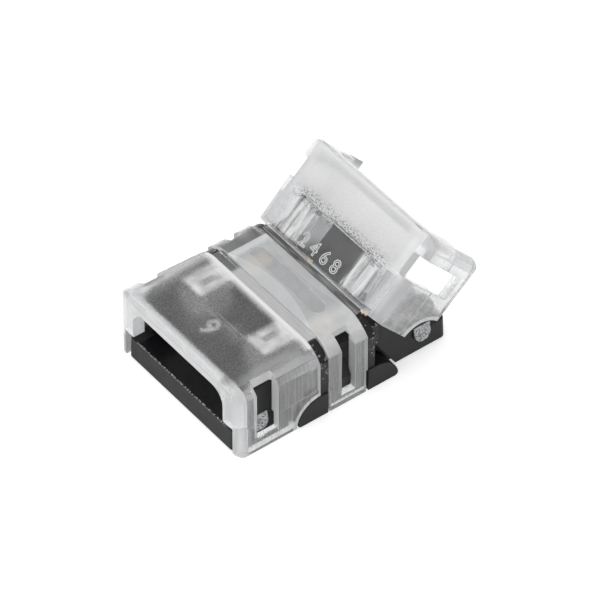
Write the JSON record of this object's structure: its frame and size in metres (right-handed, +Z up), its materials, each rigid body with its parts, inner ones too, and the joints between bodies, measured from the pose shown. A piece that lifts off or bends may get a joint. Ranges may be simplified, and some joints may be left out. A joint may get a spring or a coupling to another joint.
{
  "type": "led strip connector",
  "caption": "Solderless snap connector for a flat LED strip: black tray with brass contacts under a clear clip with a living-hinged snap flap at each end.",
  "frame": {"origin": "on the flat underside of the tray, in the middle of its length and width", "axes": "+X along the strip towards the open rear flap, +Y across the strip, +Z up out of the underside"},
  "size_m": [0.0227, 0.015, 0.0117],
  "materials": {
    "black_plastic": "black moulded polycarbonate, satin",
    "clear_plastic": "clear moulded polycarbonate with finely frosted inner faces",
    "contact_brass": "stamped strip, bright"
  },
  "bodies": {
    "tray": {"base": "black_plastic", "centre_clip": "clear_plastic", "front_hinge_web": "clear_plastic", "rear_hinge_web": "clear_plastic", "contact_near": "contact_brass", "contact_far": "contact_brass"},
    "front_cover": {"front_flap": "clear_plastic"},
    "rear_cover": {"rear_flap": "clear_plastic"}
  },
  "joints": [
    {"name": "front_flap_hinge", "type": "hinge", "parent": "tray", "child": "front_cover", "pos_m": [-0.00222, 0, 0.00643], "axis": [0, 1, 0], "range_deg": [0, 95], "deforming": ["front_hinge_web"]},
    {"name": "rear_flap_hinge", "type": "hinge", "parent": "tray", "child": "rear_cover", "pos_m": [0.00222, 0, 0.00643], "axis": [0, -1, 0], "range_deg": [-41, 54], "deforming": ["rear_hinge_web"]}
  ]
}
